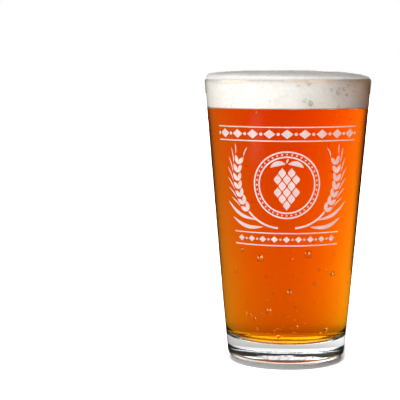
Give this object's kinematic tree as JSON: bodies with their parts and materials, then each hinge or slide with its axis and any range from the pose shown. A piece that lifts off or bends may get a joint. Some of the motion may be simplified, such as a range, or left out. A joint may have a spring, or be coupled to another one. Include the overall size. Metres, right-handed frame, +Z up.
{
  "type": "pint glass",
  "caption": "Tapered pint glass with a rounded rim and a thick solid base, filled with amber beer under a white foam head that stands above the rim.",
  "frame": {"origin": "centre of the foot, on the surface that the glass stands on", "axes": "+Z up along the axis that every piece is turned about; -Y is the side that the picture shows"},
  "size_m": [0.0886, 0.0886, 0.1536],
  "materials": {
    "clear_glass": "clear fire-polished soda-lime glass",
    "amber_beer": "clear amber liquid",
    "white_foam": "matt creamy froth of fine bubbles"
  },
  "bodies": {
    "root": {"glass": "clear_glass", "beer": "amber_beer", "foam_head": "white_foam"}
  },
  "joints": []
}
